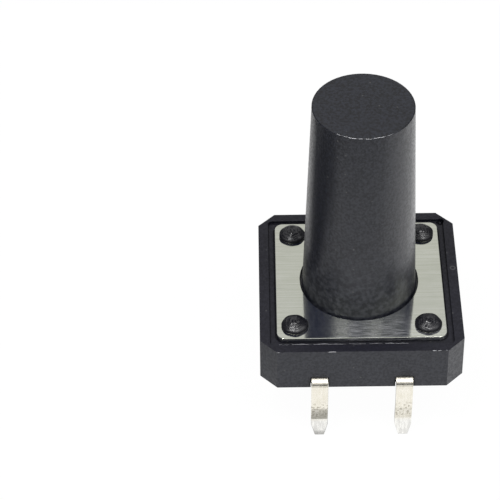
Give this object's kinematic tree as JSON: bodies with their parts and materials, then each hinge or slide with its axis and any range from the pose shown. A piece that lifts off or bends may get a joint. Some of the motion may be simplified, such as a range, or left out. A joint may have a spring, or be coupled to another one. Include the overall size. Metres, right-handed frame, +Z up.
{
  "type": "tactile push button switch",
  "caption": "Square through-hole tactile switch with a long round plunger, a steel cover plate staked to a black moulded base, and kinked tinned legs.",
  "frame": {"origin": "centre of the four leg footprint in the seating plane, which is the plane of the corner pads that meet the circuit board", "axes": "+Z up along the plunger, away from the board; X along the two leg rows; Y across them"},
  "size_m": [0.012, 0.013, 0.0202],
  "materials": {
    "housing_plastic": "moulded black thermoplastic, fine matt spark texture",
    "cover_steel": "rolled satin sheet, grain along X",
    "plunger_plastic": "moulded black thermoplastic, satin",
    "dome_spring_metal": "silver plated spring bronze",
    "terminal_tin": "bright tin plating over brass strip"
  },
  "bodies": {
    "base": {"housing": "housing_plastic", "cover_plate": "cover_steel", "contact_dome": "dome_spring_metal", "terminal_left": "terminal_tin", "terminal_right": "terminal_tin"},
    "button": {"plunger": "plunger_plastic"}
  },
  "joints": [
    {"name": "plunger_travel", "type": "slide", "parent": "base", "child": "button", "axis": [0, 0, -1], "range_m": [0, 0.0003], "stiffness_N_per_m": 4000, "springref_m": -0.0003, "deforming": ["contact_dome"]}
  ]
}
